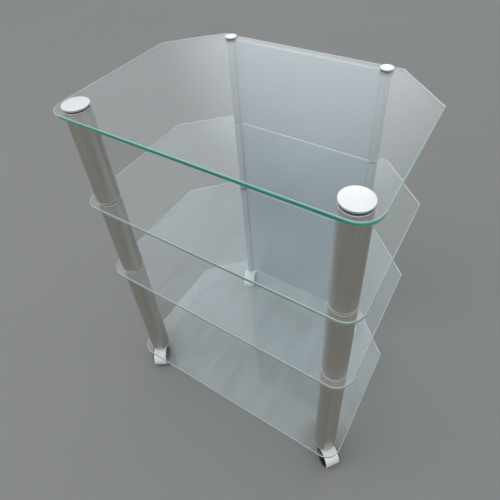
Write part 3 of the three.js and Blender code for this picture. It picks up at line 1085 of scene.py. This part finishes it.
class RACK_OT_hoods(bpy.types.Operator):
    """Models the castors' hoods: a rolled band over the wheels, a web, a stem socket and an axle boss"""

    bl_idname = "rack.hoods"
    bl_label = "Castor hoods"
    front_angle: number("Front", "Angle in degrees where the band starts", -35)
    back_angle: number("Back", "Angle in degrees where the band ends", 158)
    steps: count("Steps", "Steps along the band", 64)
    web: length("Web", "Thickness of the middle web", 0.005)
    socket_radius: length("Socket", "Radius of the stem's socket", 0.0075)
    socket_floor: length("Socket floor", "Thickness under the stem", 0.004)
    boss_radius: length("Boss", "Radius of the axle's boss", 0.006)
    slide: length("Slide", "Room round the stem and the axle", 0.0003)
    axle_radius: length("Axle", "Radius of the axle", 0.003)

    def execute(self, context):
        castors = context.scene.rack_castors
        chrome = turned_metal("satin_hood_chrome", castors.metal, rough=0.3, metallic=0.12)
        hood = self.model_hood(castors)
        keep_places(hood)
        put_on_castors(hood, "castor_shell", [chrome], "hood")
        return {"FINISHED"}

    def swept(self, section):
        """A closed section of (offset along the axle, radius) pairs swept round the axle."""
        start_clean()
        bpy.ops.mesh.primitive_circle_add(vertices=len(section), radius=1, fill_type="NGON")
        piece = bpy.context.active_object
        bpy.ops.object.mode_set(mode="EDIT")
        mesh = bmesh.from_edit_mesh(piece.data)
        mesh.verts.ensure_lookup_table()
        start = math.radians(self.front_angle)
        for vertex, (offset, radius) in zip(mesh.verts, section):
            vertex.co = (radius * math.cos(start), offset, radius * math.sin(start))
        bmesh.update_edit_mesh(piece.data)
        bpy.ops.mesh.select_all(action="SELECT")
        bpy.ops.mesh.spin(
            steps=self.steps, angle=math.radians(self.back_angle - self.front_angle),
            center=(0, 0, 0), axis=(0, 1, 0),
        )
        finish_mesh()
        piece.data.transform(TO_AXLE)
        return piece

    def model_hood(self, castors):
        """The band, web, socket and boss in one, bored for the stem and the axle."""
        reach, half = hood_sizes()
        lip = castors.hood_wall * 0.45
        inner = reach - castors.hood_wall
        hood = self.swept([
            (-half, inner), (-half, reach - lip), (lip - half, reach), (half - lip, reach),
            (half, reach - lip), (half, inner), (half - 2 * lip, inner - lip),
            (half - 3 * lip, inner), (3 * lip - half, inner), (2 * lip - half, inner - lip),
        ])
        web = self.swept([
            (-self.web / 2, POLE), (-self.web / 2, inner + lip),
            (self.web / 2, inner + lip), (self.web / 2, POLE),
        ])
        combine(hood, web, "UNION")
        bore_end = stem_heights()[0] - self.slide
        socket = plain_round(
            self.socket_radius, bore_end - self.socket_floor, -castors.stem_flange - self.slide,
            CORE_FACETS,
        )
        combine(hood, socket, "UNION")
        boss = plain_round(self.boss_radius, -self.socket_radius, self.socket_radius, CORE_FACETS)
        lay_on_axle(boss)
        combine(hood, boss, "UNION")
        bore = plain_round(STEM_RADIUS + self.slide, bore_end, GLASS_THICKNESS, CORE_FACETS)
        combine(hood, bore, "DIFFERENCE")
        passage = plain_round(self.axle_radius + self.slide, -half, half, PASSAGE_FACETS)
        lay_on_axle(passage)
        combine(hood, passage, "DIFFERENCE")
        select_only(hood)
        bpy.ops.object.shade_smooth_by_angle(angle=math.radians(SMOOTH_ANGLE))
        return hood


AXLE_STEEL = (0.66, 0.66, 0.65)


class RACK_OT_axles(bpy.types.Operator):
    """Models the axles of the castors' wheels"""

    bl_idname = "rack.axles"
    bl_label = "Castor axles"
    facets: count("Facets", "Flats round an axle", 32)

    def execute(self, context):
        steel = turned_metal("bright_axle", AXLE_STEEL, rough=0.25)
        places = castor_corners("axle")
        half = max(co.y for co in places)
        radius = max(off_axle(co) for co in places)
        tip = radius / 6
        axle = draw_up([
            (0, -half), (radius - tip, -half), (radius, tip - half),
            (radius, half - tip), (radius - tip, half), (0, half),
        ], self.facets)
        lay_on_axle(axle)
        keep_places(axle)
        put_on_castors(axle, "wheel_axle", [steel], "axle")
        return {"FINISHED"}


class RACK_OT_wheels(bpy.types.Operator):
    """Models the eight castor wheels with their treads, domed faces and hub rings"""

    bl_idname = "rack.wheels"
    bl_label = "Castor wheels"
    facets: count("Facets", "Flats round a wheel", 72)
    hub_radius: length("Hub", "Radius of the hub on the inner side", 0.0065)
    bore: length("Bore", "Radius of the hole for the axle", 0.0033)
    cover: length("Cover", "Thickness over the axle's end", 0.0032)
    recess: length("Recess", "Depth of the hollow on the inner side", 0.0035)
    shoulder: length("Shoulder", "Rounding from the tread to the outer face", 0.0032)

    def execute(self, context):
        tyre = context.scene.rack_castors.tyre
        nylon = moulded("black_wheel_nylon", tyre, rough=0.5, dusty=0.04, shine=0.15)
        offsets = [co.y for co in castor_corners("left_wheel")]
        inner, outer = min(offsets), max(offsets)
        tread = WHEEL_RADIUS
        edge = self.shoulder / 3
        groove = self.shoulder / 5
        ring = tread * 0.66
        wheel = draw_up([
            (0, outer - self.cover), (self.bore, outer - self.cover), (self.bore, inner),
            (self.hub_radius, inner), (self.hub_radius, inner + self.recess),
            (tread - 2.2 * self.shoulder, inner + self.recess),
            (tread - 1.6 * self.shoulder, inner), (tread - edge, inner),
            (tread - edge * 0.3, inner + edge * 0.3), (tread, inner + edge),
            *rounded(tread, outer - groove, self.shoulder, steps=7),
            (ring + 3 * groove, outer), (ring + groove, outer), (ring + groove * 0.6, outer - groove),
            (ring - groove * 0.6, outer - groove), (ring - groove, outer),
            (ring * 0.45, outer), (ring * 0.42, outer - groove * 0.6), (0, outer - groove * 0.6),
        ], self.facets)
        tip(wheel, -90)
        keep_places(wheel)
        for name in UPRIGHTS:
            for side in SIDES:
                facing = Matrix.Rotation(0 if side == "left" else math.pi, 4, "Z")
                place = castor_place(name) @ TO_AXLE @ facing
                node = f"{name}_castor_{side}_wheel"
                put(wheel, f"{name}_{side}_castor_wheel", place, [nylon], node, node)
        drop(wheel)
        return {"FINISHED"}


# Stage

# Each spread is a range of cosines, from GLOW_WAY or from straight up, over which the light grows.
GLOW_WAY = Vector((-0.36, 0.86, 0.38)).normalized()
GLOW_SPREAD = (0.93, 1.0)
SKY_SPREAD = (0.35, 0.95)
LAMP_PLACE = Vector((-1.9, -1.6, 3.4))
LAMP_TARGET = Vector((0, 0, 0.4))
CAMERA_PLACE = Vector((0.39377, -0.59564, 1.25825))
CAMERA_TARGET = Vector((-0.13636, 0.17595, 0.43304))
SENSOR_WIDTH = 36


def looking(place, target):
    """The turn that makes a lamp or a camera at a place look at the target."""
    return (target - place).to_track_quat("-Z", "Y")


class RACK_OT_stage(bpy.types.Operator):
    """Sets the pale floor, the soft light and the camera"""

    bl_idname = "rack.stage"
    bl_label = "Floor, light and camera"
    floor_size: length("Floor", "Side of the floor", 40.0)
    lamp_size: length("Lamp", "Width of the lamp", 2.4)
    roll: number("Roll", "Camera roll", -0.073, subtype="ANGLE")
    shift_x: number("Shift X", "Camera shift across", -0.0051)
    shift_y: number("Shift Y", "Camera shift up", -0.1151)

    def execute(self, context):
        stage = context.scene.rack_stage
        start_clean()
        bpy.ops.mesh.primitive_plane_add(size=self.floor_size)
        floor = bpy.context.active_object
        floor.name = "floor"
        floor.data.materials.append(floor_paint(stage))
        self.light_all_round(context, stage)
        self.add_lamp(stage)
        self.set_camera(context, stage)
        return {"FINISHED"}

    def add_lamp(self, stage):
        """A soft round lamp, kept out of mirror reflections and out of what shows through glass."""
        bpy.ops.object.light_add(type="AREA", location=LAMP_PLACE)
        lamp = bpy.context.active_object
        lamp.name = "soft_key_lamp"
        lamp.data.shape = "DISK"
        lamp.data.size = self.lamp_size
        lamp.data.energy = stage.lamp_power
        lamp.data.color = stage.lamp_colour
        lamp.visible_glossy = False
        lamp.visible_transmission = False
        lamp.rotation_euler = looking(LAMP_PLACE, LAMP_TARGET).to_euler()

    def light_all_round(self, context, stage):
        """Light that grows from the sides to overhead, and a glow that only reflections show."""
        world = bpy.data.worlds.new("soft_room")
        context.scene.world = world
        world.use_nodes = True
        tree = world.node_tree
        tree.nodes.clear()
        way = add_node(tree, "ShaderNodeTexCoord").outputs["Generated"]
        height = add_node(tree, "ShaderNodeSeparateXYZ", {0: way}).outputs["Z"]
        level = spread(tree, height, *SKY_SPREAD, stage.horizon, stage.overhead, "SMOOTHSTEP")
        towards = add_node(tree, "ShaderNodeVectorMath", {0: way, 1: GLOW_WAY}, operation="DOT_PRODUCT")
        glow = spread(tree, towards.outputs["Value"], *GLOW_SPREAD, 0, stage.glow, "SMOOTHSTEP")
        mirrors = add_node(tree, "ShaderNodeLightPath").outputs["Glossy Depth"]
        mirrored = worked(tree, "MINIMUM", mirrors, 1.0)
        around = add_node(tree, "ShaderNodeBackground", {
            "Color": stage.sky, "Strength": worked(tree, "MULTIPLY_ADD", mirrored, glow, level),
        })
        add_node(tree, "ShaderNodeOutputWorld", {"Surface": around.outputs[0]})

    def set_camera(self, context, stage):
        """The photograph's view, from above the rack's front right corner."""
        bpy.ops.object.camera_add(location=CAMERA_PLACE)
        camera = bpy.context.active_object
        camera.name = "photo_camera"
        look = looking(CAMERA_PLACE, CAMERA_TARGET).to_matrix()
        camera.rotation_euler = (look @ Matrix.Rotation(self.roll, 3, "Z")).to_euler()
        camera.data.sensor_width = SENSOR_WIDTH
        camera.data.lens = stage.lens
        camera.data.shift_x = self.shift_x
        camera.data.shift_y = self.shift_y
        camera.data.dof.use_dof = False
        context.scene.camera = camera
        context.scene.view_settings.view_transform = "Standard"


# Panel and registration

STEPS = (
    RACK_OT_stage, RACK_OT_shelves, RACK_OT_columns, RACK_OT_posts, RACK_OT_plugs, RACK_OT_caps,
    RACK_OT_panels, RACK_OT_rods, RACK_OT_stems, RACK_OT_hoods, RACK_OT_axles, RACK_OT_wheels,
)


class RACK_PT_sidebar(bpy.types.Panel):
    """Lists the steps that make the rack"""

    bl_label = "Audio Rack"
    bl_idname = "RACK_PT_sidebar"
    bl_space_type = "VIEW_3D"
    bl_region_type = "UI"
    bl_category = "Audio Rack"

    def draw(self, context):
        for step in STEPS:
            self.layout.operator(step.bl_idname)
        for group, settings in SETTINGS.items():
            box = self.layout.box()
            for key in settings.__annotations__:
                box.prop(getattr(context.scene, group), key)


CLASSES = (*SETTINGS.values(), *STEPS, RACK_PT_sidebar)


def register():
    for cls in CLASSES:
        bpy.utils.register_class(cls)
    for group, settings in SETTINGS.items():
        setattr(bpy.types.Scene, group, PointerProperty(type=settings))


def unregister():
    for group in SETTINGS:
        delattr(bpy.types.Scene, group)
    for cls in reversed(CLASSES):
        bpy.utils.unregister_class(cls)


def main():
    register()
    bpy.ops.rack.stage()
    bpy.ops.rack.shelves()
    bpy.ops.rack.columns()
    bpy.ops.rack.posts()
    bpy.ops.rack.plugs()
    bpy.ops.rack.caps()
    bpy.ops.rack.panels()
    bpy.ops.rack.rods()
    bpy.ops.rack.stems()
    bpy.ops.rack.hoods()
    bpy.ops.rack.axles()
    bpy.ops.rack.wheels()


if __name__ == "__main__":
    main()
